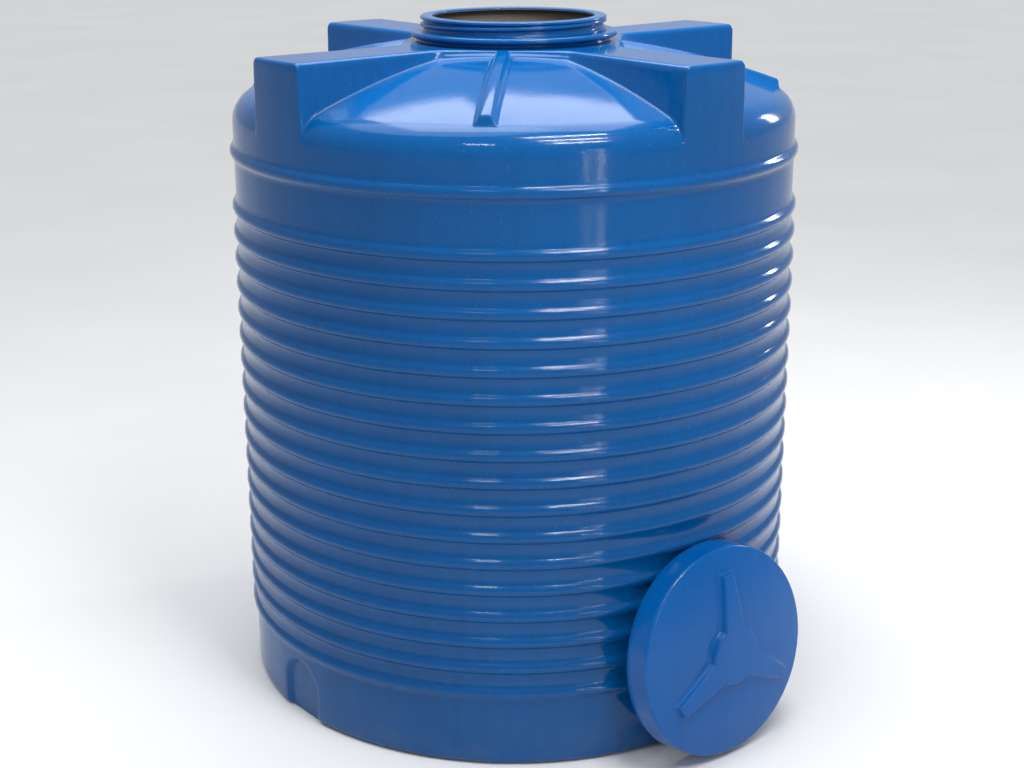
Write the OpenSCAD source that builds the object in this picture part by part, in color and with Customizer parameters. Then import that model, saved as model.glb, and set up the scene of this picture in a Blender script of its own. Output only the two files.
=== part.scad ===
// Vertical rotomoulded water tank for livestock, 3000 litres, with a screw lid.
// Millimetres, +Z up. The origin is the centre of the underside. The lid is off and leans on
// the wall on the -Y side; the outlet fitting is on the +X side.

/* [Tank body] */
// Outer radius of the wall between the ribs
wall_r = 762; // [740:1:800]
// Thickness of the moulded skin
skin = 6; // [5:0.5:8]
// Radius of the rounded bottom edge
base_round = 18; // [14:1:26]
// Radius of the rounded shoulder between wall and roof
shoulder_round = 84; // [70:1:95]
// Height of the middle of the domed roof
dome_top = 1776; // [1760:1:1790]
// Spherical radius of the domed roof
dome_r = 2000; // [1800:10:2200]

/* [Ribs] */
// Evenly spaced ribs round the wall
rib_count = 17; // [12:1:17]
// Height of the lowest rib's middle
rib_first_z = 204; // [200:1:210]
// Distance from one rib to the next
rib_pitch = 71.3; // [65:0.1:71.3]
// Height of the single rib under the shoulder
rib_top_z = 1494; // [1480:1:1500]
// How far a rib stands out of the wall
rib_rise = 11; // [8:0.5:12]
// Radius of a rib's round section
rib_round = 17; // [15:0.5:20]

/* [Roof deck and lugs] */
// Height of the flat deck round the neck and of the four lugs
deck_z = 1770; // [1765:1:1775]
// Distance from the axis to the deck's straight edges
deck_half = 293; // [288:1:300]
// Half the width of a lug where it leaves the deck
lug_half_in = 88; // [80:1:92]
// Half the width of a lug at the wall
lug_half_out = 101; // [95:1:110]

/* [Roof bars] */
// Width of a roof bar
bar_w = 45; // [36:1:54]
// Radius at which a roof bar ends
bar_end_r = 715; // [690:1:716]
// Height of a roof bar's top at its outer end
bar_end_z = 1668; // [1660:1:1672]

/* [Neck] */
// Height of the neck's lip
lip_z = 1836; // [1830:1:1840]
// Radius of the opening in the lip
mouth_r = 218; // [200:1:222]
// Thickness of the lip round the opening
lip_t = 8; // [6:1:10]
// Outer radius of the neck between its threads
neck_root_r = 243; // [240:1:244]
// Outer radius of the neck's thread
neck_crest_r = 251; // [250:0.5:252]
// Outer radius of the flange under the lid
flange_r = 280; // [278:1:284]
// Height of the top of that flange
flange_z = 1797; // [1795:1:1799]
// Thickness of that flange
flange_t = 14; // [10:1:16]

/* [Pads] */
// Width of the two arched flats at the foot of the wall
pad_w = 141; // [130:1:150]
// Distance from the axis to a flat's face
pad_x = 745; // [742:1:748]
// Height of the middle of a flat's round top, and of the outlet
pad_z = 87; // [84:1:95]

/* [Lid] */
// Radius of the lid at its open edge
lid_r = 280; // [278:1:282]
// Height of the lid's skirt
lid_h = 70; // [66:1:74]
// Radius of the rounded edge of the lid's face
lid_edge = 9; // [6:1:12]
// How far the middle of the lid's face stands above its rim
lid_dome = 25; // [18:1:30]
// Radius of the space in the lid that the neck screws into
cup_r = 257; // [256:0.5:258]
// Depth of that space
cup_h = 45; // [43:1:47]
// Radius at the crest of the lid's thread
cup_crest_r = 247; // [246:0.5:248]
// Thickness of the lid's two skins
lid_skin = 5; // [4:0.5:6]
// Height of the grip above the lid's face
grip_rise = 20; // [15:1:25]
// Radius of the grip's hub
grip_hub_r = 77; // [70:1:85]
// Radius at which a grip arm ends
grip_end_r = 212; // [200:1:225]
// Half the width of a grip arm at the lid's middle
grip_half_in = 44; // [38:1:50]
// Half the width of a grip arm at its end
grip_half_out = 16; // [12:1:20]

/* [Lid at rest] */
// Direction from the axis to the leaning lid, in degrees
lean_dir = -91.6; // [-93:0.1:-87]
// Angle between the leaning lid and the vertical
lean_tilt = 6.7; // [6:0.1:8]

/* [Outlet fitting] */
// Radius of the outlet's threaded bore
outlet_bore_r = 28.3; // [26:0.1:30]
// Radius of the outlet's shank
outlet_shank_r = 36; // [34:0.5:38]
// Radius of the outlet's flange and gaskets
outlet_flange_r = 52; // [48:1:56]
// Thickness of the outlet's flange
outlet_flange_t = 10; // [8:1:12]
// Length of the six-sided collar outside the flange
outlet_collar_l = 24; // [20:1:30]
// Thickness of each gasket
gasket_t = 4; // [3:0.5:5]
// Thickness of the nut inside the tank
nut_t = 18; // [14:1:22]

/* [Hidden] */
$fn = 96;
round_fn = 180;                  // sides of a full turn on the big round solids
rib_fn = 24;                     // sides of a rib's round section
eps = 1;                         // overlap where one solid runs into another
tank_blue = [0.05, 0.33, 0.62];
lid_blue = [0.06, 0.37, 0.66];

// The dome and the shoulder are tangent: the shoulder's middle is worked out from both radii.
dome_z = dome_top - dome_r;
shoulder_x = wall_r - shoulder_round;
shoulder_z = dome_z + sqrt(pow(dome_r - shoulder_round, 2) - pow(shoulder_x, 2));
shoulder_angle = acos(shoulder_x / (dome_r - shoulder_round));
deck_foot_z = shoulder_z - 30;   // where the solids on the roof start, inside the wall
lug_end_r = wall_r - 0.5;        // outer end of a lug, just inside the wall's surface

// The roof bars' top is part of a sphere on the axis, from the deck's edge to the bars' end.
bar_root_z = deck_z - 2;         // top of a bar where it leaves the deck
bar_root = 4;                    // how far a bar runs into the deck
bar_dome_r = (pow(bar_end_r, 2) - pow(deck_half, 2)) / (2 * (bar_root_z - bar_end_z));
bar_dome_z = bar_root_z - sqrt(pow(bar_dome_r, 2) - pow(deck_half, 2));

rib_heights = concat([for (i = [0:rib_count - 1]) rib_first_z + i * rib_pitch], [rib_top_z]);

thread_h = 12;                   // height of a thread's crest along the neck
thread_slope = 3;                // bevel above and below a crest
groove_bottom_z = lip_z - thread_h - 2 * thread_slope;
waist_out = 18;                  // how far the waist under the flange stands out
neck_foot_r = neck_root_r + waist_out;

// The lid's skirt narrows a little towards its face, a spherical cap inside a rounded edge.
skirt_draft = 3;
lid_top_r = lid_r - skirt_draft;
face_r = lid_top_r - lid_edge;
face_sphere_r = (pow(face_r, 2) + pow(lid_dome, 2)) / (2 * lid_dome);
cup_thread_z = 26;               // height of the lid's thread above its open edge
vent_r = 3;                      // moulding vent from the lid's hollow into the cup
seal_lip_gap = 2;                // from the neck's mouth to the seal
seal_side_gap = 1;               // from the seal to the crest of the lid's thread
seal_t = 6;
air_gap = 0.3;                   // space between solids that move against each other

// The lid stands on its open edge's lowest point, and its highest one touches a rib.
lean_gap = 0.4;
lean_z = lid_r * cos(lean_tilt) + air_gap;
lean_x = wall_r + rib_rise + lean_gap + lid_r * sin(lean_tilt);

hole_r = outlet_shank_r + 1;
gasket_x = pad_x;
flange_x = gasket_x + gasket_t;
collar_x = flange_x + outlet_flange_t;
washer_x = pad_x - skin - gasket_t;
nut_x = washer_x - nut_t;
shank_past_nut = 12;
shank_x = nut_x - shank_past_nut;
collar_r = 46;                   // over the corners of the six-sided collar
corner_cut = 2;                  // how far the collar's corners are turned off at its end
nut_r = 58;                      // over the corners of the nut
running = 0.2;                   // between the shank and what it passes through

// Points of an arc about (x, z), from angle a0 to a1
function arc(x, z, r, a0, a1, n) =
    [for (i = [0:n]) let (a = a0 + (a1 - a0) * i / n) [x + r * cos(a), z + r * sin(a)]];

// Points of a dome of radius r about (0, z), from radius x0 in to the axis
function dome_arc(z, r, x0, n) =
    [for (i = [0:n]) let (a = asin(x0 / r) * (1 - i / n)) [r * sin(a), z + r * cos(a)]];

// Half outline of the tank's body without ribs, drawn inwards by inset
module body_outline(inset) {
    join_x = shoulder_x + (shoulder_round - inset) * cos(shoulder_angle);
    polygon(concat(
        [[0, inset]],
        arc(wall_r - base_round, base_round, base_round - inset, -90, 0, 5),
        arc(shoulder_x, shoulder_z, shoulder_round - inset, 0, shoulder_angle, 9),
        dome_arc(dome_z, dome_r - inset, join_x, 14)
    ));
}

// Body of revolution with its ribs, drawn inwards by inset
module body_solid(inset) {
    rotate_extrude($fn = round_fn) {
        body_outline(inset);
        for (z = rib_heights)
            translate([wall_r + rib_rise - rib_round, z])
                circle(rib_round - inset, $fn = rib_fn);
    }
}

// One lug: a box along +X whose outer end lies on the wall
module lug(inset) {
    half_in = lug_half_in - inset;
    half_out = lug_half_out - inset;
    translate([0, 0, deck_foot_z])
        linear_extrude(deck_z - inset - deck_foot_z)
            intersection() {
                polygon([[0, -half_in], [deck_half, -half_in], [wall_r + skin, -half_out],
                         [wall_r + skin, half_out], [deck_half, half_in], [0, half_in]]);
                circle(lug_end_r - inset, $fn = round_fn);
            }
}

// One bar along +X that follows the roof's dome
module roof_bar(inset) {
    end_r = bar_end_r - inset;
    intersection() {
        translate([deck_half - bar_root, -bar_w / 2 + inset, deck_foot_z])
            cube([end_r - deck_half + bar_root, bar_w - 2 * inset, deck_z]);
        rotate_extrude($fn = round_fn)
            polygon(concat([[0, deck_foot_z - eps], [wall_r, deck_foot_z - eps]],
                           dome_arc(bar_dome_z, bar_dome_r - inset, wall_r, 16)));
    }
}

// Everything that stands on the roof apart from the neck
module roof_relief(inset) {
    half = deck_half - inset;
    rotate([0, 0, 45])
        translate([-half, -half, deck_foot_z])
            cube([2 * half, 2 * half, deck_z - inset - deck_foot_z]);
    for (a = [0:90:270]) {
        rotate([0, 0, a]) lug(inset);
        rotate([0, 0, a + 45]) roof_bar(inset);
    }
}

// Neck with its lip, two turns of thread drawn as rings, and the flange under the lid
module neck_outside() {
    rotate_extrude($fn = round_fn)
        polygon([
            [0, deck_z - skin - eps], [neck_foot_r, deck_z - skin - eps],
            [neck_foot_r, flange_z - flange_t], [flange_r - thread_slope, flange_z - flange_t],
            [flange_r, flange_z - flange_t + thread_slope], [flange_r, flange_z - thread_slope],
            [flange_r - thread_slope, flange_z], [neck_crest_r, flange_z],
            [neck_crest_r, groove_bottom_z - 3 * thread_slope],
            [neck_root_r, groove_bottom_z - 2 * thread_slope], [neck_root_r, groove_bottom_z],
            [neck_crest_r, groove_bottom_z + thread_slope], [neck_crest_r, lip_z - thread_slope],
            [neck_crest_r - thread_slope, lip_z], [0, lip_z]
        ]);
}

module neck_inside() {
    translate([0, 0, shoulder_z])
        cylinder(r = neck_root_r - skin, h = lip_z - lip_t - shoulder_z, $fn = round_fn);
    translate([0, 0, shoulder_z])
        cylinder(r = mouth_r, h = lip_z + eps - shoulder_z, $fn = round_fn);
}

// Arched block over one flat, grown by grow, with its face at x
module pad_block(x, grow) {
    translate([x, 0, 0])
        rotate([90, 0, 90])
            linear_extrude(wall_r + 2 * rib_rise - x)
                union() {
                    translate([-pad_w / 2 - grow, -eps])
                        square([pad_w + 2 * grow, pad_z + eps]);
                    translate([0, pad_z])
                        circle(pad_w / 2 + grow);
                }
}

module tank_shell() {
    color(tank_blue)
        difference() {
            union() {
                body_solid(0);
                roof_relief(0);
                neck_outside();
            }
            difference() {
                union() {
                    body_solid(skin);
                    roof_relief(skin);
                    neck_inside();
                }
                for (a = [0, 180])
                    rotate([0, 0, a]) pad_block(pad_x - skin, skin);
            }
            for (a = [0, 180])
                rotate([0, 0, a]) pad_block(pad_x, 0);
            translate([pad_x - 2 * skin, 0, pad_z])
                rotate([0, 90, 0]) cylinder(r = hole_r, h = 3 * skin);
        }
}

// Plan of the lid's grip: a hub and three arms that taper outwards, one along -X
module grip_plan(inset) {
    circle(grip_hub_r - inset);
    for (a = [60:120:300])
        rotate(a)
            polygon([[0, -grip_half_in + inset], [grip_end_r - inset, -grip_half_out + inset],
                     [grip_end_r - inset, grip_half_out - inset], [0, grip_half_in - inset]]);
}

// Half outline of the lid's outside, drawn inwards by inset
module lid_outline(inset) {
    sphere_z = lid_h + lid_dome - face_sphere_r;
    polygon(concat(
        [[0, inset], [lid_r - inset, inset]],
        arc(face_r, lid_h - lid_edge, lid_edge - inset, 0, 90, 4),
        dome_arc(sphere_z, face_sphere_r - inset, face_r - eps, 8)
    ));
}

// The grip's solid stands grip_rise above the face and follows its curve
module grip_solid(inset) {
    sphere_z = lid_h + lid_dome - face_sphere_r;
    intersection() {
        translate([0, 0, cup_h + lid_skin])
            linear_extrude(lid_h)
                grip_plan(inset);
        rotate_extrude($fn = round_fn)
            polygon(concat([[0, cup_h], [face_r, cup_h]],
                           dome_arc(sphere_z, face_sphere_r + grip_rise - inset, face_r, 8)));
    }
}

// The lid in its own place: open edge down on z = 0, axis +Z
module lid_upright() {
    difference() {
        union() {
            rotate_extrude($fn = round_fn) lid_outline(0);
            grip_solid(0);
        }
        // Space for the neck, with one ring of thread left in it
        rotate_extrude($fn = round_fn)
            polygon([
                [0, -eps], [cup_r, -eps], [cup_r, cup_thread_z - thread_h / 2 - thread_slope],
                [cup_crest_r, cup_thread_z - thread_h / 2], [cup_crest_r, cup_thread_z],
                [cup_r, cup_thread_z + thread_slope], [cup_r, cup_h], [0, cup_h]
            ]);
        // Hollow between the two skins
        difference() {
            union() {
                rotate_extrude($fn = round_fn) lid_outline(lid_skin);
                grip_solid(lid_skin);
            }
            cylinder(r = cup_r + lid_skin, h = cup_h + lid_skin, $fn = round_fn);
        }
        cylinder(r = vent_r, h = lid_h);
    }
}

// Puts a solid that is drawn upright where the lid leans
module at_lean() {
    rotate([0, 0, lean_dir])
        translate([lean_x, 0, lean_z])
            rotate([0, 90 - lean_tilt, 0])
                children();
}

module lid() {
    color(lid_blue)
        at_lean() lid_upright();
}

module lid_seal() {
    color([0.08, 0.08, 0.08])
        at_lean()
            translate([0, 0, cup_h - seal_t - air_gap])
                difference() {
                    cylinder(r = cup_crest_r - seal_side_gap, h = seal_t, $fn = round_fn);
                    translate([0, 0, -eps])
                        cylinder(r = mouth_r + seal_lip_gap, h = seal_t + 2 * eps, $fn = round_fn);
                }
}

// Ring along +X from x, at the outlet's height
module outlet_ring(x, length, r_out, r_in, sides) {
    translate([x, 0, pad_z])
        rotate([0, 90, 0])
            difference() {
                cylinder(r = r_out, h = length, $fn = sides);
                translate([0, 0, -eps])
                    cylinder(r = r_in, h = length + 2 * eps);
            }
}

module outlet_body() {
    color([0.12, 0.12, 0.13])
        difference() {
            union() {
                outlet_ring(shank_x, flange_x + eps - shank_x, outlet_shank_r, outlet_bore_r, $fn);
                outlet_ring(flange_x, outlet_flange_t, outlet_flange_r, outlet_bore_r, $fn);
                outlet_ring(collar_x - eps, outlet_collar_l + eps, collar_r, outlet_bore_r, 6);
            }
            outlet_ring(collar_x + outlet_collar_l - corner_cut, corner_cut + eps,
                        collar_r + corner_cut, collar_r - corner_cut, $fn);
        }
}

module outlet_gasket() {
    color([0.08, 0.08, 0.08])
        outlet_ring(gasket_x, gasket_t, outlet_flange_r, outlet_shank_r + running, $fn);
}

module outlet_washer() {
    color([0.08, 0.08, 0.08])
        outlet_ring(washer_x, gasket_t, outlet_flange_r, outlet_shank_r + running, $fn);
}

module outlet_nut() {
    color([0.12, 0.12, 0.13])
        outlet_ring(nut_x, nut_t, nut_r, outlet_shank_r + running, 6);
}

tank_shell();
lid();
lid_seal();
outlet_body();
outlet_gasket();
outlet_washer();
outlet_nut();
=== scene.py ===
"""Upright rotomoulded water tank for livestock, with its screw lid off and leaning at its foot.

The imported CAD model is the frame. The tank's shell and its lid are rebuilt here as smooth
closed meshes with rounded edges, helical threads and soft moulded corners. The seal and the
outlet's pieces are the CAD nodes with detailed materials. The object's sizes are written in
millimetres, the studio's in metres, and +Z is up.
"""

import math

import bmesh
import bpy
import numpy as np
from mathutils import Matrix, Vector


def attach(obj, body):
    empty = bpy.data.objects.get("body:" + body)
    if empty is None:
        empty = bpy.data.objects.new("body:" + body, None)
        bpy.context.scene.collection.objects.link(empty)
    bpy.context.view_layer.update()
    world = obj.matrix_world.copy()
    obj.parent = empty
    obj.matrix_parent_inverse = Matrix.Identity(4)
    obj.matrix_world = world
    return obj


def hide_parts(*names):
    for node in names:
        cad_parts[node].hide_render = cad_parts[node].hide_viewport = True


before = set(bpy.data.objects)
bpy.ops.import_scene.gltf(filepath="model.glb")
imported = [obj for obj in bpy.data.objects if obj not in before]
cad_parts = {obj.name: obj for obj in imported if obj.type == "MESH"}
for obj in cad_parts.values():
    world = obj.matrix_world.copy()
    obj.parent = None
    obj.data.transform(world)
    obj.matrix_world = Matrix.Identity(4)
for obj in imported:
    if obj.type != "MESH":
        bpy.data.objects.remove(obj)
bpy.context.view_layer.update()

# ---------------------------------------------------------------- sizes, in millimetres
MM = 0.001

# wall, foot, shoulder and dome
WALL_R = 762.0
SKIN = 6.0
BASE_ROUND = 18.0
SHOULDER_ROUND = 84.0
DOME_TOP = 1776.0
DOME_R = 2000.0
RIB_RISE = 11.0
RIB_ROUND = 17.0
RIB_FOOT = 7.0
RIB_FILLET = 3.2
RIB_Z = [204.0 + 71.3 * i for i in range(17)] + [1494.0]

# deck, lugs and roof bars
DECK_Z = 1770.0
DECK_HALF = 293.0
DECK_CORNER_R = 338.0
DECK_BLEND = 16.0
LUG_HALF_IN = 88.0
LUG_HALF_OUT = 101.0
LUG_EDGE = 9.0
LUG_TOP_ROUND = 12.0
BAR_HALF = 22.5
BAR_END_R = 715.0
BAR_ROOT_RISE = 14.0
BAR_END_RISE = 24.0

# neck and its thread
LIP_Z = 1836.0
LIP_T = 8.0
LIP_ROUND_IN = 3.0
LIP_ROUND_OUT = 4.0
MOUTH_R = 218.0
NECK_ROOT_R = 243.0
NECK_CREST_R = 251.0
NECK_WAIST_R = 261.0
NECK_FOOT_ROUND = 7.0
FLANGE_R = 280.0
FLANGE_Z = 1797.0
FLANGE_T = 14.0
FLANGE_ROUND = 5.0
THREAD_PITCH = 24.0
THREAD_CREST_HALF = 3.0
THREAD_FOOT_HALF = 7.0
NECK_THREAD_Z = LIP_Z - 36.0
NECK_ROWS = 22
LIP_UNDERSIDE = (LIP_Z - 12.0, LIP_Z - 7.0)
NECK_THREAD_START = math.radians(-50.0)

# arched flats at the foot, and the outlet's hole through one of them
PAD_X = 745.0
PAD_HALF = 70.5
PAD_Z = 87.0
OUTLET_HOLE_R = 36.6
DRILL_REACH = 25.0

# lid
LID_R = 280.0
LID_H = 70.0
LID_EDGE = 9.0
LID_DOME = 25.0
LID_DRAFT = 3.0
LID_RIM_ROUND = 3.0
CUP_R = 257.0
CUP_H = 45.0
CUP_CREST_R = 247.0
CUP_ROWS = 20
LID_THREAD_Z = 6.0
LID_THREAD_START = (5.0, 12.0)
LID_THREAD_END = (30.0, 37.0)
GRIP_RISE = 20.0
GRIP_HUB_R = 77.0
GRIP_END_R = 212.0
GRIP_HALF_IN = 44.0
GRIP_HALF_OUT = 16.0
LEAN_DIR = math.radians(-91.6)
LEAN_TILT = math.radians(6.7)
LEAN_GAP = 0.4
FLOOR_CLEARANCE = 0.3

DOME_Z = DOME_TOP - DOME_R
SHOULDER_X = WALL_R - SHOULDER_ROUND
SHOULDER_Z = DOME_Z + math.sqrt((DOME_R - SHOULDER_ROUND) ** 2 - SHOULDER_X**2)
SHOULDER_DEGREES = math.degrees(math.acos(SHOULDER_X / (DOME_R - SHOULDER_ROUND)))
DOME_END_R = SHOULDER_X * DOME_R / (DOME_R - SHOULDER_ROUND)
RIB_REACH = math.sqrt(RIB_ROUND**2 - (RIB_ROUND - RIB_RISE) ** 2)
LID_FACE_R = LID_R - LID_DRAFT - LID_EDGE
LID_SPHERE_R = (LID_FACE_R**2 + LID_DOME**2) / (2 * LID_DOME)

# ---------------------------------------------------------------- studio, in metres and radians
FACING = math.radians(-39.7)
FLOOR_R = 60.0
FLOOR_GAP = 0.0015
TUBE_DISTANCE = 1.7
TUBE_SPACING = 0.75
SKY_FRONT = 0.45
SKY_BACK = 0.50
CAMERA_DISTANCE = 4.573
CAMERA_HEIGHT = 2.2284
CAMERA_LENS = 58.55
CAMERA_SENSOR = 36.0
CAMERA_YAW = 0.0017
CAMERA_DIP = 0.3041
CAMERA_ROLL = -0.0041


# ---------------------------------------------------------------- mesh helpers
def smooth(a, b, x):
    """Smooth step from 0 at a to 1 at b."""
    t = np.clip((x - a) / (b - a), 0.0, 1.0)
    return t * t * (3.0 - 2.0 * t)


def step(inside, height, half=2.0, foot=8.0, top=8.0):
    """Rise of a raised shape at a distance inside its edge: round foot, steep side, round top."""
    height = np.broadcast_to(np.asarray(height, float), np.shape(inside))
    fit = np.clip(height / (foot + top + 1e-6), 0.0, 1.0)
    foot_round = foot * fit
    top_round = top * fit
    x_foot = np.clip(inside + half + foot_round, 0.0, foot_round)
    low = foot_round - np.sqrt(np.maximum(foot_round**2 - x_foot**2, 0.0))
    x_top = np.clip(half + top_round - inside, 0.0, top_round)
    high = height - top_round + np.sqrt(np.maximum(top_round**2 - x_top**2, 0.0))
    side = foot_round + (height - top_round - foot_round) * (inside + half) / (2.0 * half)
    return np.where(inside < -half, low, np.where(inside > half, high, side))


def ring(r, z, angles):
    """One ring of points at radius r and height z, each a number or one value per column."""
    r = np.broadcast_to(np.asarray(r, float), angles.shape)
    z = np.broadcast_to(np.asarray(z, float), angles.shape)
    return np.column_stack([r * np.cos(angles), r * np.sin(angles), z])


def arc_rings(centre, radius, start, end, count, angles):
    """Rings over an edge whose profile is an arc, from one angle of it to another in degrees.

    centre is the arc's (r, z), and radius is one number or a pair, along r and along z.
    """
    radius_r, radius_z = np.broadcast_to(radius, 2)
    rings = []
    for a in np.radians(np.linspace(start, end, count)):
        rings.append(ring(centre[0] + radius_r * math.cos(a), centre[1] + radius_z * math.sin(a), angles))
    return rings


def thread_crest(z, low_z, angles):
    """How much of the helical thread's height is there at height z, 0 to 1 for each column."""
    turn = np.mod(angles, 2 * math.pi) / (2 * math.pi)
    crest = np.zeros(len(angles))
    for lap in range(-1, 3):
        off = np.abs(z - low_z - THREAD_PITCH * (turn + lap))
        crest = np.maximum(crest, 1.0 - smooth(THREAD_CREST_HALF, THREAD_FOOT_HALF, off))
    return crest


def add_object(name, data):
    """Puts a mesh, a light or a camera into the scene as an object."""
    piece = bpy.data.objects.new(name, data)
    bpy.context.scene.collection.objects.link(piece)
    return piece


def grid_object(name, rings):
    """A closed surface from rings of points in mm, each ring an array of shape (columns, 3)."""
    columns = len(rings[0])
    last = (len(rings) - 1) * columns
    first_middle = last + columns
    points = np.vstack([*rings, rings[0].mean(axis=0), rings[-1].mean(axis=0)]) * MM
    pairs = [(c, (c + 1) % columns) for c in range(columns)]
    faces = []
    for a in range(0, last, columns):
        b = a + columns
        faces += [(a + c, b + c, b + d, a + d) for c, d in pairs]
    for c, d in pairs:
        faces.append((first_middle, c, d))
        faces.append((first_middle + 1, last + d, last + c))
    mesh = bpy.data.meshes.new(name)
    mesh.from_pydata([tuple(p) for p in points], [], faces)
    mesh.polygons.foreach_set("use_smooth", [True] * len(mesh.polygons))
    mesh.update()
    return add_object(name, mesh)


def drill(piece, x, z, radius):
    """Cuts a round hole along X through the part of a piece near x."""
    shape = bmesh.new()
    bmesh.ops.create_cone(shape, cap_ends=True, segments=64, radius1=radius * MM,
                          radius2=radius * MM, depth=2 * DRILL_REACH * MM)
    cutter_mesh = bpy.data.meshes.new("cutter")
    shape.to_mesh(cutter_mesh)
    shape.free()
    place = Matrix.Translation((x * MM, 0.0, z * MM))
    cutter_mesh.transform(place @ Matrix.Rotation(math.pi / 2, 4, "Y"))
    cutter = add_object("cutter", cutter_mesh)
    cut = piece.modifiers.new("hole", "BOOLEAN")
    cut.operation = "DIFFERENCE"
    cut.solver = "EXACT"
    cut.object = cutter
    graph = bpy.context.evaluated_depsgraph_get()
    drilled = bpy.data.meshes.new_from_object(piece.evaluated_get(graph))
    piece.modifiers.remove(cut)
    piece.data = drilled
    bpy.data.objects.remove(cutter)


# ---------------------------------------------------------------- the tank's columns of points
# Half a quadrant goes from a lug's middle over its top, down its side and over the dome's sector
# to a roof bar's middle. The offsets gather the columns round the two edges on the way.
LUG_TOP_SHARES = np.linspace(0.0, 1.0, 12)[:-1]
LUG_SIDE_OFFSETS = np.array([-13.0, -8.0, -5.0, -3.2, -1.9, 1.9, 3.2, 5.2, 8.5, 15.0])
SECTOR_SHARES = np.linspace(0.0, 1.0, 8)[1:-1]
BAR_OFFSETS = np.array([9.5, 5.5, 3.0, -1.0, -4.0, -8.0, -13.0, -BAR_HALF])
HALF_COLUMNS = len(LUG_TOP_SHARES) + len(LUG_SIDE_OFFSETS) + len(SECTOR_SHARES) + len(BAR_OFFSETS)
QUARTER_COLUMNS = 2 * (HALF_COLUMNS - 1)
SHELL_COLUMNS = 4 * QUARTER_COLUMNS


def lug_half(r):
    """Half the width of a lug at distance r from the axis."""
    along = (r - DECK_HALF) / (WALL_R - DECK_HALF)
    return LUG_HALF_IN + (LUG_HALF_OUT - LUG_HALF_IN) * np.clip(along, 0.0, 1.0)


def half_quadrant(r):
    """Angles of half a quadrant's columns, one row for each radius in r."""
    r = r.reshape(-1, 1)
    half = lug_half(r)
    lug_top = np.arcsin((half + LUG_SIDE_OFFSETS[0]) * LUG_TOP_SHARES / r)
    lug_side = np.arcsin((half + LUG_SIDE_OFFSETS) / r)
    bar = math.pi / 4 - np.arcsin((BAR_HALF + BAR_OFFSETS) / r)
    start = lug_side[:, -1:]
    sector = start + (bar[:, :1] - start) * SECTOR_SHARES
    return np.hstack([lug_top, lug_side, sector, bar])


def shell_angles(r):
    """Angles of all the shell's columns, at one radius or at one radius per column."""
    halves = half_quadrant(np.maximum(np.broadcast_to(r, SHELL_COLUMNS), NECK_WAIST_R))
    column = np.arange(SHELL_COLUMNS)
    quadrant, place = np.divmod(column, QUARTER_COLUMNS)
    mirrored = place >= HALF_COLUMNS
    angle = halves[column, np.where(mirrored, QUARTER_COLUMNS - place, place)]
    return quadrant * math.pi / 2 + np.where(mirrored, math.pi / 2 - angle, angle)


def fold(angles):
    """Angle from the nearest lug's middle, 0 to 45 degrees."""
    a = np.mod(angles, math.pi / 2)
    return np.minimum(a, math.pi / 2 - a)


# ---------------------------------------------------------------- the tank's roof
DECK_SHARES = np.linspace(0.0, 1.0, 6)[:-1]
DECK_EDGE_ROWS = (-14.0, -9.0, -6.0, -3.5, -1.8, 1.8, 3.5, 6.0, 9.0, 14.0)
DECK_MARGIN = 10.0
DECK_ROUNDS = 6
DOME_SHARES = np.linspace(0.0, 1.0, 16)[1:]
DOME_MARGIN = 12.0
BAR_END_ROWS = (-8.0, -5.5, -3.5, -1.8, 0.0, 1.8, 3.5, 5.5)
SHOULDER_ROWS = 14
LUG_FLAT_SHARE = 0.2
LUG_BEND_SHARE = 0.6


def deck_edge(angles):
    """Distance from the axis to the deck's straight edges, cut short at its corners."""
    return np.minimum(DECK_HALF / np.cos(math.pi / 4 - fold(angles)), DECK_CORNER_R)


def deck_distance(r, angles):
    """Distance inside the plan of the deck and its four lugs; negative is outside."""
    a = fold(angles)
    in_deck = DECK_HALF - r * np.cos(math.pi / 4 - a)
    in_lug = lug_half(r * np.cos(a)) - r * np.sin(a)
    mix = np.clip(0.5 + 0.5 * (in_deck - in_lug) / DECK_BLEND, 0.0, 1.0)
    return in_lug * (1 - mix) + in_deck * mix + DECK_BLEND * mix * (1 - mix)


def bar_height(r, angles):
    """How far a roof bar stands above the dome."""
    off = r * np.sin(math.pi / 4 - fold(angles))
    along = np.clip((r - DECK_HALF) / (BAR_END_R - DECK_HALF), 0.0, 1.0)
    rise = BAR_ROOT_RISE + (BAR_END_RISE - BAR_ROOT_RISE) * along
    across = step(BAR_HALF - off, rise, half=4.0, foot=5.0, top=13.0)
    end = step(BAR_END_R - r, rise, half=1.5, foot=4.0, top=6.0)
    return np.minimum(across, end)


def dome_height(r):
    """Height of the dome at radius r."""
    return DOME_Z + np.sqrt(DOME_R**2 - r**2)


def roof_ring(r):
    """A ring over the dome, raised to the deck, the lugs and the roof bars."""
    angles = shell_angles(r)
    foot = dome_height(r)
    z = foot + step(deck_distance(r, angles), DECK_Z - foot, top=LUG_TOP_ROUND)
    z = np.maximum(z, np.minimum(foot + bar_height(r, angles), np.maximum(DECK_Z, foot)))
    return ring(r, z, angles)


def lug_ring(r, z, lug_r, lug_z, bars=False):
    """A ring at r and z whose columns on a lug go to lug_r and lug_z instead."""
    angles = shell_angles(r)
    tall = max(math.hypot(lug_r - r, lug_z - z), 0.001)
    inside = lug_half(r) - r * np.sin(fold(angles))
    weight = step(inside, tall, top=LUG_TOP_ROUND) / tall
    if bars:
        z = z + bar_height(np.full(SHELL_COLUMNS, r), angles)
    return ring(r + (lug_r - r) * weight, z + (lug_z - z) * weight,
                angles + (shell_angles(lug_r) - angles) * weight)


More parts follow.
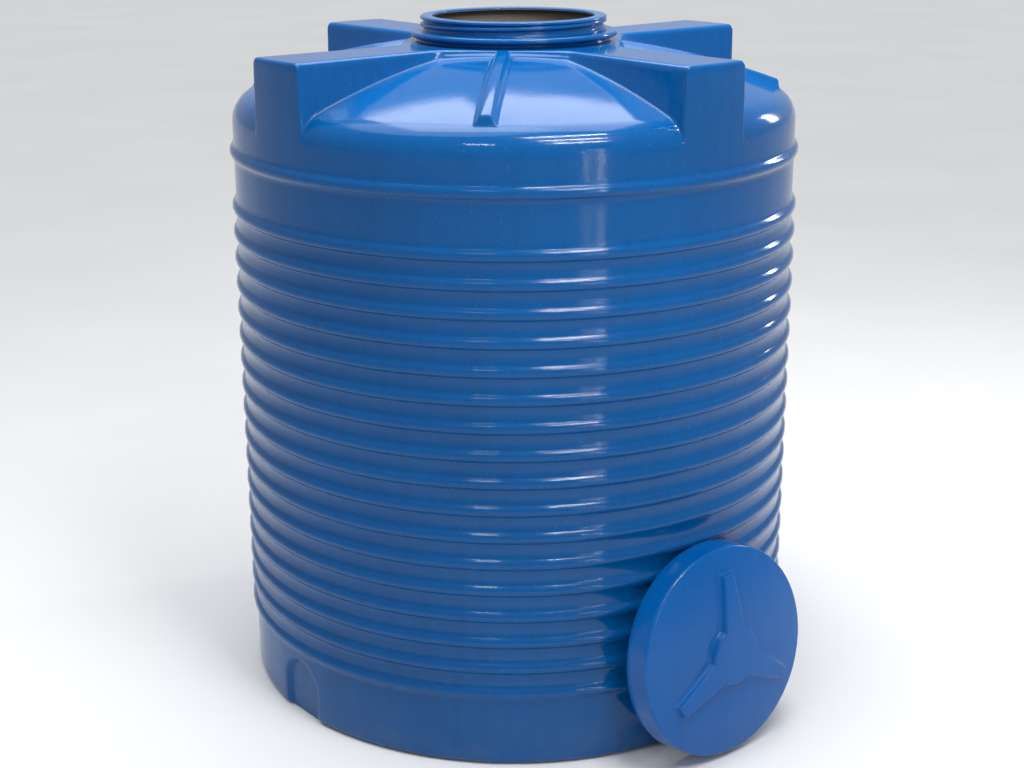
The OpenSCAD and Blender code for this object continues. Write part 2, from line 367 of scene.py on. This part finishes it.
def bar_end_ring(r):
    """A ring over the bars' ends, where the dome meets the shoulder."""
    if r > DOME_END_R:
        z = SHOULDER_Z + math.sqrt(SHOULDER_ROUND**2 - (r - SHOULDER_X) ** 2)
    else:
        z = float(dome_height(r))
    return lug_ring(r, z, r, DECK_Z, bars=True)


def shoulder_ring(angle, along):
    """A ring down the shoulder; on a lug it goes out, over the top's edge and down the blunt end."""
    start_r = BAR_END_R + BAR_END_ROWS[-1]
    edge_r = WALL_R - LUG_EDGE
    edge_z = DECK_Z - LUG_EDGE
    if along < LUG_FLAT_SHARE:
        lug_r = start_r + (edge_r - start_r) * along / LUG_FLAT_SHARE
        lug_z = DECK_Z
    elif along < LUG_BEND_SHARE:
        bend = (along - LUG_FLAT_SHARE) / (LUG_BEND_SHARE - LUG_FLAT_SHARE)
        lug_r = edge_r + LUG_EDGE * math.sin(math.pi / 2 * bend)
        lug_z = edge_z + LUG_EDGE * math.cos(math.pi / 2 * bend)
    else:
        lug_r = WALL_R
        lug_z = edge_z + (SHOULDER_Z - edge_z) * (along - LUG_BEND_SHARE) / (1 - LUG_BEND_SHARE)
    return lug_ring(SHOULDER_X + SHOULDER_ROUND * math.cos(angle),
                    SHOULDER_Z + SHOULDER_ROUND * math.sin(angle), lug_r, lug_z)


def deck_radii(share, offset):
    """One radius per column, a share of the way from the neck to an offset from the deck's edge."""
    start = NECK_WAIST_R + DECK_MARGIN
    angles = shell_angles(NECK_WAIST_R)
    for _ in range(DECK_ROUNDS):
        r = start + (deck_edge(angles) + offset - start) * share
        angles = shell_angles(r)
    return r


def roof_rings():
    """From the neck's foot over deck, dome, lugs and bars to the top of the straight wall."""
    radii = [deck_radii(share, DECK_EDGE_ROWS[0]) for share in DECK_SHARES]
    radii += [deck_radii(1.0, offset) for offset in DECK_EDGE_ROWS]
    edge = radii[-1]
    radii += [edge + (BAR_END_R - DOME_MARGIN - edge) * share for share in DOME_SHARES]
    rings = [roof_ring(r) for r in radii]
    rings += [bar_end_ring(BAR_END_R + offset) for offset in BAR_END_ROWS]
    start = math.acos((BAR_END_R + BAR_END_ROWS[-1] - SHOULDER_X) / SHOULDER_ROUND)
    for row in range(1, SHOULDER_ROWS + 1):
        along = row / SHOULDER_ROWS
        rings.append(shoulder_ring(start * (1.0 - along), along))
    return rings


# ---------------------------------------------------------------- the tank's neck and wall
RIB_ROWS = (-18.5, -14.5, -10.0, -5.0, 0.0, 5.0, 10.0, 14.5, 18.5)
MIDDLE_R = 30.0
DOME_INSIDE_R = 690.0


def neck_rings(angles):
    """From the mouth over the lip, down the helical thread and the flange to the deck."""
    rings = [ring(MOUTH_R, LIP_Z - LIP_T + 2, angles)]
    rings += arc_rings((MOUTH_R + LIP_ROUND_IN, LIP_Z - LIP_ROUND_IN), LIP_ROUND_IN,
                       180, 90, 5, angles)
    rings.append(ring((MOUTH_R + NECK_CREST_R) / 2, LIP_Z, angles))
    rings += arc_rings((NECK_CREST_R - LIP_ROUND_OUT, LIP_Z - LIP_ROUND_OUT), LIP_ROUND_OUT,
                       90, 0, 5, angles)
    for z in np.linspace(LIP_Z - 5.0, FLANGE_Z + 3.0, NECK_ROWS):
        under_lip = smooth(*LIP_UNDERSIDE, z)
        crest = np.maximum(under_lip, thread_crest(z, NECK_THREAD_Z, angles - NECK_THREAD_START))
        rings.append(ring(NECK_ROOT_R + (NECK_CREST_R - NECK_ROOT_R) * crest, z, angles))
    rings.append(ring(NECK_ROOT_R + 3, FLANGE_Z + 0.6, angles))
    rings.append(ring(NECK_ROOT_R + 8, FLANGE_Z, angles))
    rings.append(ring(FLANGE_R - 8, FLANGE_Z, angles))
    rings += arc_rings((FLANGE_R - FLANGE_ROUND, FLANGE_Z - FLANGE_T / 2),
                       (FLANGE_ROUND, FLANGE_T / 2), 90, -90, 9, angles)
    rings.append(ring(NECK_WAIST_R + 3, FLANGE_Z - FLANGE_T, angles))
    rings += arc_rings((NECK_WAIST_R + NECK_FOOT_ROUND, DECK_Z + NECK_FOOT_ROUND),
                       NECK_FOOT_ROUND, 180, 270, 5, angles)
    return rings


def rib_bump(z):
    """How far the wall stands out at height z, with a small fillet at each rib's foot."""
    out = 0.0
    for middle in RIB_Z:
        off = abs(z - middle)
        if off < RIB_ROUND:
            out = max(out, math.sqrt(RIB_ROUND**2 - off**2) - (RIB_ROUND - RIB_RISE))
        if abs(off - RIB_REACH) < RIB_FOOT:
            share = (RIB_FOOT - (off - RIB_REACH)) / (2 * RIB_FOOT)
            out = max(out, RIB_FILLET * share**2)
    return out


def wall_rows():
    """Heights of the wall's rings, close together over the ribs and the flats."""
    rows = list(np.arange(SHOULDER_Z - 12.0, RIB_Z[-1] + 26.0, -16.0))
    for middle in RIB_Z:
        rows += [middle + offset for offset in RIB_ROWS]
    rows += list(np.arange(RIB_Z[0] - 26.0, BASE_ROUND + 2.0, -6.5))
    rows += list(np.linspace(RIB_Z[-1] - 30.0, RIB_Z[-2] + 30.0, 4))
    return sorted(set(round(z, 3) for z in rows), reverse=True)


def press_flats(points, half, flat_x, edge_out, edge_in):
    """Presses the two arched flats into the wall's foot; the edges say how soft their rim is."""
    x, y, z = points.T
    arch = np.where(z > PAD_Z, np.hypot(y, z - PAD_Z), np.abs(y))
    inside = smooth(edge_out, edge_in, half - arch)
    target = np.sign(x) * np.minimum(np.abs(x), flat_x)
    pressed = points.copy()
    pressed[:, 0] = x + (target - x) * inside
    return pressed


def inner_rings(wall_angles, neck_angles):
    """The skin's inside: over the floor, up the wall, under the dome and up the neck."""
    wall_in = WALL_R - SKIN
    neck_in = NECK_ROOT_R - SKIN
    rings = [ring(MIDDLE_R, SKIN, wall_angles), ring(wall_in - 60.0, SKIN, wall_angles)]
    rings += arc_rings((WALL_R - BASE_ROUND, BASE_ROUND), BASE_ROUND - SKIN,
                       -90, 0, 5, wall_angles)
    heights = list(np.arange(30.0, 180.0, 9.0)) + list(np.linspace(200.0, SHOULDER_Z, 5))
    rings += [ring(wall_in, z, wall_angles) for z in heights]
    rings += arc_rings((SHOULDER_X, SHOULDER_Z), SHOULDER_ROUND - SKIN,
                       0, SHOULDER_DEGREES, 6, wall_angles)[1:]
    for share in np.linspace(0.0, 1.0, 6):
        r = DOME_INSIDE_R + (NECK_ROOT_R - DOME_INSIDE_R) * share
        angles = wall_angles + (neck_angles - wall_angles) * share
        rings.append(ring(r, dome_height(r) - SKIN, angles))
    for z in np.linspace(DECK_Z - 10, LIP_Z - LIP_T - 2, 3):
        rings.append(ring(neck_in, z, neck_angles))
    rings.append(ring(neck_in - 2, LIP_Z - LIP_T, neck_angles))
    rings.append(ring(MOUTH_R + 2, LIP_Z - LIP_T, neck_angles))
    return [press_flats(p, PAD_HALF + SKIN, PAD_X - SKIN, -8.0, 4.0) for p in rings]


def outer_rings(angles):
    """The skin's outside: down the ribbed wall, round the foot and under the floor."""
    rings = [ring(WALL_R + rib_bump(z), z, angles) for z in wall_rows()]
    rings += arc_rings((WALL_R - BASE_ROUND, BASE_ROUND), BASE_ROUND, 0, -90, 7, angles)
    rings += [ring(r, 0.0, angles) for r in (WALL_R - BASE_ROUND - 30.0, 300.0, MIDDLE_R)]
    return [press_flats(p, PAD_HALF, PAD_X, -5.0, 6.0) for p in rings]


def shell_mesh():
    """The tank's closed skin, from the middle of the floor inside to its middle underneath."""
    neck_angles = shell_angles(NECK_WAIST_R)
    wall_angles = shell_angles(WALL_R)
    rings = inner_rings(wall_angles, neck_angles) + neck_rings(neck_angles)
    rings += roof_rings() + outer_rings(wall_angles)
    return grid_object("tank_shell_skin", rings)


# ---------------------------------------------------------------- the lid
# Half a third goes from a grip arm's middle over its top and down its side to the gap's middle.
ARM_TOP_SHARES = np.linspace(0.0, 1.0, 6)[:-1]
ARM_SIDE_OFFSETS = np.array([-6.0, -3.5, -1.8, -0.6, 0.9, 2.2, 4.2, 7.0])
GAP_SHARES = np.linspace(0.0, 1.0, 11)[1:]
GRIP_EDGE_ROWS = (-6.0, -3.8, -2.2, -0.8, 0.8, 2.2, 4.2, 7.0)
HALF_TURN = np.array([-1.0, -1.0, 1.0])


def arm_half(x):
    """Half the width of a grip arm at distance x from the lid's middle."""
    return GRIP_HALF_IN + (GRIP_HALF_OUT - GRIP_HALF_IN) * np.clip(x / GRIP_END_R, 0.0, 1.0)


def lid_angles(r):
    """Angles of all the lid's columns at radius r."""
    r = min(max(r, GRIP_HUB_R - 6.0), GRIP_END_R)
    half = float(arm_half(r))
    arm_top = np.arcsin((half + ARM_SIDE_OFFSETS[0]) * ARM_TOP_SHARES / r)
    arm_side = np.arcsin((half + ARM_SIDE_OFFSETS) / r)
    gap = arm_side[-1] + (math.pi / 3 - arm_side[-1]) * GAP_SHARES
    columns = np.concatenate([arm_top, arm_side, gap])
    third = 2 * math.pi / 3
    angles = []
    for k in range(3):
        angles += [k * third + columns[:-1], (k + 1) * third - columns[:0:-1]]
    return np.concatenate(angles)


def lid_face_ring(r):
    """A ring over the lid's face, a shallow dome with the three-armed grip on it."""
    angles = lid_angles(r)
    third = 2 * math.pi / 3
    a = np.abs(np.mod(angles + third / 2, third) - third / 2)
    x = r * np.cos(a)
    in_arm = np.minimum(arm_half(x) - r * np.sin(a), GRIP_END_R - x)
    inside = np.maximum(in_arm, GRIP_HUB_R - r)
    sphere_z = LID_H + LID_DOME - LID_SPHERE_R
    dome = sphere_z + np.sqrt(LID_SPHERE_R**2 - min(r, LID_FACE_R) ** 2)
    return ring(r, dome + step(inside, GRIP_RISE, half=1.5, foot=5.0, top=3.5), angles)


def cup_rings(angles):
    """Up the threaded side of the lid's cup and over its bottom."""
    rings = []
    for z in np.linspace(5.0, CUP_H - 3.0, CUP_ROWS):
        ends = smooth(*LID_THREAD_START, z) * (1.0 - smooth(*LID_THREAD_END, z))
        crest = thread_crest(z, LID_THREAD_Z, angles) * ends
        rings.append(ring(CUP_R - (CUP_R - CUP_CREST_R) * crest, z, angles))
    rings.append(ring(CUP_R - 1, CUP_H - 0.8, angles))
    rings.append(ring(CUP_R - 4, CUP_H, angles))
    rings += [ring(r, CUP_H, lid_angles(r)) for r in (240.0, 170.0, 90.0, 30.0)]
    return rings


def lid_rings():
    """From the face's middle over its edge, down the side, round the rim and into the cup."""
    radii = [14.0, 40.0, 62.0]
    radii += [GRIP_HUB_R + offset for offset in GRIP_EDGE_ROWS]
    radii += list(np.linspace(GRIP_HUB_R + 16, GRIP_END_R - 14, 12))
    radii += [GRIP_END_R + offset for offset in GRIP_EDGE_ROWS]
    radii += list(np.linspace(GRIP_END_R + 16, LID_FACE_R - 3, 5))
    rings = [lid_face_ring(r) for r in radii]
    angles = lid_angles(LID_R)
    side_top = LID_H - LID_EDGE
    side_foot = LID_RIM_ROUND + 1.0
    rings += arc_rings((LID_FACE_R, side_top), LID_EDGE, 90, 0, 7, angles)
    for share in np.linspace(0.0, 1.0, 6)[1:-1]:
        z = side_top + (side_foot - side_top) * share
        rings.append(ring(LID_R - LID_DRAFT * (1.0 - share), z, angles))
    rings += arc_rings((LID_R - LID_RIM_ROUND, LID_RIM_ROUND), LID_RIM_ROUND, 0, -90, 5, angles)
    rings += arc_rings((CUP_R + LID_RIM_ROUND, LID_RIM_ROUND), LID_RIM_ROUND, -90, -180, 5, angles)
    return rings + cup_rings(angles)


def lid_mesh():
    """The lid's closed skin, leaning with its rim on the floor and its edge on the tank's ribs."""
    # The half turn brings the arm that lies along the lid's own X axis to the top.
    piece = grid_object("screw_lid_skin", [points * HALF_TURN for points in lid_rings()])
    lean_x = WALL_R + RIB_RISE + LEAN_GAP + LID_R * math.sin(LEAN_TILT)
    lean_z = LID_R * math.cos(LEAN_TILT) + FLOOR_CLEARANCE
    place = (Matrix.Rotation(LEAN_DIR, 4, "Z")
             @ Matrix.Translation((lean_x * MM, 0.0, lean_z * MM))
             @ Matrix.Rotation(math.pi / 2 - LEAN_TILT, 4, "Y"))
    piece.data.transform(place)
    return piece


# ---------------------------------------------------------------- materials
TANK_DEEP = (0.0, 0.068, 0.235, 1)
TANK_LIGHT = (0.0, 0.083, 0.285, 1)
NECK_INSIDE = (0.22, 0.19, 0.16, 1)
LID_DEEP = (0.0, 0.084, 0.32, 1)
LID_LIGHT = (0.0, 0.100, 0.37, 1)
PALE_SPECK = (0.10, 0.22, 0.42, 1.0)
DUST = (0.22, 0.24, 0.26, 1.0)
# How dark the painted reflection streaks are, as a share of the deep blue.
REFLECTION_STREAK_DARKENING = 0.75
DUST_HEIGHT = 0.16


class Nodes:
    """A short way to write a procedural material."""

    def __init__(self, name):
        self.material = bpy.data.materials.new(name)
        self.material.use_nodes = True
        self.tree = self.material.node_tree
        self.shader = self.tree.nodes["Principled BSDF"]
        self.coords = self.tree.nodes.new("ShaderNodeTexCoord").outputs["Object"]

    def add(self, kind, inputs=(), **settings):
        """A new node, with its settings made and its inputs set or linked."""
        node = self.tree.nodes.new("ShaderNode" + kind)
        for key, value in settings.items():
            setattr(node, key, value)
        for key, value in dict(inputs).items():
            self.put(node.inputs[key], value)
        return node

    def put(self, socket, value):
        """Links another node's output to a socket, or sets the socket's own value."""
        if isinstance(value, bpy.types.NodeSocket):
            self.tree.links.new(value, socket)
        else:
            socket.default_value = value

    def noise(self, scale, detail=4.0, rough=0.5, stretch=(1, 1, 1)):
        """Noise over the object's own coordinates."""
        place = self.add("Mapping", {"Vector": self.coords, "Scale": stretch})
        node = self.add("TexNoise", {"Vector": place.outputs["Vector"], "Scale": scale,
                                     "Detail": detail, "Roughness": rough})
        return node.outputs["Fac"]

    def between(self, value, low, high, out_low, out_high):
        """Maps one range to another, held at its ends."""
        node = self.add("MapRange", {"Value": value, "From Min": low, "From Max": high,
                                     "To Min": out_low, "To Max": out_high})
        return node.outputs["Result"]

    def mix(self, factor, a, b):
        """A colour between a and b."""
        node = self.add("Mix", {0: factor, 6: a, 7: b}, data_type="RGBA")
        return node.outputs[2]

    def math(self, operation, a, b):
        """One calculation with two values."""
        return self.add("Math", {0: a, 1: b}, operation=operation).outputs[0]

    def bump(self, height, distance, strength=1.0, normal=None):
        """A fine relief, on top of another one if a normal is given."""
        node = self.add("Bump", {"Height": height, "Distance": distance, "Strength": strength})
        if normal is not None:
            self.put(node.inputs["Normal"], normal)
        return node.outputs["Normal"]

    def finish(self, **inputs):
        """Sets the shader's inputs and gives the material."""
        for key, value in inputs.items():
            self.put(self.shader.inputs[key.replace("_", " ")], value)
        return self.material


def neck_bore(m):
    """1 on the neck's inside and straight below it, 0 everywhere else."""
    split = m.add("SeparateXYZ", {"Vector": m.coords})
    flat = m.add("CombineXYZ", {"X": split.outputs["X"], "Y": split.outputs["Y"]})
    radius = m.add("VectorMath", {0: flat.outputs["Vector"]}, operation="LENGTH").outputs["Value"]
    within = m.math("LESS_THAN", radius, (NECK_ROOT_R - 4.0) * MM)
    below = m.math("LESS_THAN", split.outputs["Z"], (LIP_Z - 4.5) * MM)
    above = m.math("GREATER_THAN", split.outputs["Z"], 0.002)
    return m.math("MULTIPLY", m.math("MULTIPLY", within, below), above)


def plastic_colour(m, deep, light):
    """Slow drift between two blues, faint darker upright streaks painted in as reflections of dark
    uprights, pale specks and dust near the floor.
    """
    drift = m.between(m.noise(1.6, 3.0), 0.3, 0.7, 0.0, 1.0)
    # Painted reflection: faint darker upright streaks stand in for dark uprights mirrored in the glossy
    # wall.
    painted_reflection_streak = m.between(m.noise(5.0, 5.0, 0.6, (6.0, 6.0, 0.35)), 0.42, 0.72, 0.0, 0.30)
    speck = m.between(m.noise(140.0, 2.0), 0.62, 0.78, 0.0, 0.18)
    height = m.add("SeparateXYZ", {"Vector": m.coords}).outputs["Z"]
    dust = m.between(height, 0.0, DUST_HEIGHT, 0.16, 0.0)
    dust = m.math("MULTIPLY", dust, m.between(m.noise(9.0, 6.0, 0.7), 0.35, 0.7, 0.0, 1.0))
    # The darker blue of the painted reflection streaks.
    reflection_streak_colour = tuple(REFLECTION_STREAK_DARKENING * v for v in deep[:3]) + (1.0,)
    colour = m.mix(drift, deep, light)
    colour = m.mix(painted_reflection_streak, colour, reflection_streak_colour)
    colour = m.mix(speck, colour, PALE_SPECK)
    return m.mix(dust, colour, DUST)


def blue_plastic(name, deep, light, inside=None):
    """Glossy rotomoulded polyethylene with orange peel and scuffs; inside colours the neck's bore."""
    m = Nodes(name)
    colour = plastic_colour(m, deep, light)
    if inside is not None:
        colour = m.mix(neck_bore(m), colour, inside)
    scuff = m.between(m.noise(34.0, 8.0, 0.75, (1.0, 1.0, 0.5)), 0.55, 0.8, 0.0, 1.0)
    rough = m.math("ADD", m.between(m.noise(3.0, 4.0), 0.3, 0.7, 0.09, 0.16),
                   m.math("MULTIPLY", scuff, 0.10))
    wave = m.bump(m.noise(2.2, 2.0), 0.006, 0.35)
    peel = m.bump(m.noise(55.0, 3.0), 0.0008, 0.22, wave)
    grain = m.bump(m.noise(420.0, 2.0), 0.0003, 0.12, peel)
    return m.finish(Base_Color=colour, Roughness=rough, Normal=grain, IOR=1.36,
                    Specular_IOR_Level=0.5)


def rubber(name):
    """Dull black rubber with a chalky bloom."""
    m = Nodes(name)
    tone = m.between(m.noise(60.0, 5.0), 0.3, 0.7, 0.0, 1.0)
    colour = m.mix(tone, (0.012, 0.012, 0.013, 1), (0.03, 0.03, 0.031, 1))
    chalk = m.between(m.noise(18.0, 6.0, 0.7), 0.55, 0.8, 0.0, 0.35)
    colour = m.mix(chalk, colour, (0.12, 0.12, 0.12, 1))
    rough = m.between(m.noise(90.0, 4.0), 0.3, 0.7, 0.55, 0.8)
    grain = m.bump(m.noise(600.0, 3.0), 0.0004, 0.5)
    return m.finish(Base_Color=colour, Roughness=rough, Normal=grain)


def black_plastic(name):
    """Moulded black plastic with pale scratches."""
    m = Nodes(name)
    tone = m.between(m.noise(25.0, 4.0), 0.3, 0.7, 0.0, 1.0)
    colour = m.mix(tone, (0.016, 0.017, 0.019, 1), (0.035, 0.036, 0.04, 1))
    scratch = m.between(m.noise(70.0, 8.0, 0.8, (1, 1, 6)), 0.6, 0.8, 0.0, 0.3)
    colour = m.mix(scratch, colour, (0.11, 0.11, 0.12, 1))
    rough = m.between(m.noise(40.0, 5.0), 0.3, 0.7, 0.3, 0.48)
    grain = m.bump(m.noise(350.0, 3.0), 0.0004, 0.4)
    return m.finish(Base_Color=colour, Roughness=rough, Normal=grain)


def pale_floor():
    """A matt, nearly white studio floor."""
    m = Nodes("studio_floor")
    tone = m.between(m.noise(0.7, 3.0), 0.3, 0.7, 0.0, 1.0)
    colour = m.mix(tone, (0.78, 0.78, 0.78, 1), (0.82, 0.82, 0.82, 1))
    return m.finish(Base_Color=colour, Roughness=0.7)


# ---------------------------------------------------------------- the object
tank = shell_mesh()
drill(tank, PAD_X, PAD_Z, OUTLET_HOLE_R)
tank.data.materials.append(blue_plastic("tank_polyethylene", TANK_DEEP, TANK_LIGHT, NECK_INSIDE))
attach(tank, "tank")
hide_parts("tank_shell")

lid = lid_mesh()
lid.data.materials.append(blue_plastic("lid_polyethylene", LID_DEEP, LID_LIGHT))
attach(lid, "screw_lid")
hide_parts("lid")

FINISHES = {"lid_seal": rubber("seal_rubber"), "outlet_gasket": rubber("gasket_rubber"),
            "outlet_washer": rubber("washer_rubber"), "outlet_body": black_plastic("connector"),
            "outlet_nut": black_plastic("nut_plastic")}
for node, material in FINISHES.items():
    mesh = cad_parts[node].data
    mesh.materials.clear()
    mesh.materials.append(material)


# ---------------------------------------------------------------- studio, lights, camera
def stage_floor():
    """A wide, plain, pale floor."""
    sides = 96
    edge_angles = np.linspace(0.0, 2.0 * math.pi, sides, endpoint=False)
    edge = [(FLOOR_R * math.cos(a), FLOOR_R * math.sin(a), -FLOOR_GAP) for a in edge_angles]
    mesh = bpy.data.meshes.new("studio_floor")
    mesh.from_pydata(edge, [], [list(range(sides))])
    mesh.materials.append(pale_floor())
    add_object("studio_floor", mesh)


def toward(azimuth, distance, height):
    """A place at an azimuth counted from the camera's side, positive to the camera's right."""
    a = math.radians(azimuth) + FACING
    return Vector((distance * math.sin(a), -distance * math.cos(a), height))


def softbox(name, place, aim, width, height, power):
    """A rectangular light that faces the tank's axis at the height aim."""
    light = bpy.data.lights.new(name, "AREA")
    light.shape = "RECTANGLE"
    light.size = width
    light.size_y = height
    light.energy = power
    lamp = add_object(name, light)
    lamp.location = place
    lamp.rotation_euler = (Vector((0, 0, aim)) - place).to_track_quat("-Z", "Y").to_euler()


def skylight():
    """One wide, soft light from above, a little from behind and from one side."""
    light = bpy.data.lights.new("skylight", "SUN")
    light.energy = 1.2
    light.angle = math.radians(45.0)
    lamp = add_object("skylight", light)
    lamp.rotation_euler = (math.radians(-14.0), math.radians(-8.0), 0.0)


def studio_lights():
    """Narrow boxes for the glints on the wall and shoulder, wide ones for the roof and edges."""
    softbox("key", toward(31, 5.2, 1.9), aim=1.0, width=0.02, height=3.0, power=13)
    softbox("key_twin", toward(26, 5.2, 1.9), aim=1.0, width=0.012, height=3.0, power=7)
    for k in range(3):
        place = toward(27, TUBE_DISTANCE + TUBE_SPACING * k, 4.2)
        softbox("tube_%d" % k, place, aim=1.5, width=1.3, height=0.07, power=34)
    softbox("tube_left", toward(-14, 3.4, 4.2), aim=1.5, width=0.8, height=0.06, power=12)
    softbox("right_back", toward(122, 4.4, 2.7), aim=1.5, width=0.4, height=1.0, power=30)
    softbox("over", toward(180, 0.2, 3.2), aim=1.2, width=1.8, height=1.8, power=46)
    skylight()


def studio_world():
    """A pale sky, a little dimmer in front, where the photographer stands."""
    world = bpy.data.worlds.new("studio")
    world.use_nodes = True
    nodes, links = world.node_tree.nodes, world.node_tree.links
    coords = nodes.new("ShaderNodeTexCoord")
    along = nodes.new("ShaderNodeVectorMath")
    along.operation = "DOT_PRODUCT"
    along.inputs[1].default_value = toward(180, 1.0, 0.55).normalized()
    ramp = nodes.new("ShaderNodeMapRange")
    ramp.interpolation_type = "SMOOTHSTEP"
    ramp.inputs["From Min"].default_value = -0.35
    ramp.inputs["From Max"].default_value = 0.75
    ramp.inputs["To Min"].default_value = SKY_FRONT
    ramp.inputs["To Max"].default_value = SKY_BACK
    links.new(coords.outputs["Generated"], along.inputs[0])
    links.new(along.outputs["Value"], ramp.inputs["Value"])
    links.new(ramp.outputs["Result"], nodes["Background"].inputs["Strength"])
    nodes["Background"].inputs["Color"].default_value = (0.93, 0.96, 1.0, 1)
    bpy.context.scene.world = world


def studio_camera():
    """The camera, turned a little from the tank's axis and dipped towards the floor."""
    camera_data = bpy.data.cameras.new("camera")
    camera_data.lens = CAMERA_LENS
    camera_data.sensor_width = CAMERA_SENSOR
    camera = add_object("camera", camera_data)
    turn = (Matrix.Rotation(FACING + CAMERA_YAW, 4, "Z")
            @ Matrix.Rotation(math.pi / 2 - CAMERA_DIP, 4, "X")
            @ Matrix.Rotation(CAMERA_ROLL, 4, "Z"))
    place = Matrix.Translation(toward(0, CAMERA_DISTANCE, CAMERA_HEIGHT))
    camera.matrix_world = place @ turn
    bpy.context.scene.camera = camera


stage_floor()
studio_world()
studio_lights()
studio_camera()
bpy.context.scene.view_settings.view_transform = "Standard"
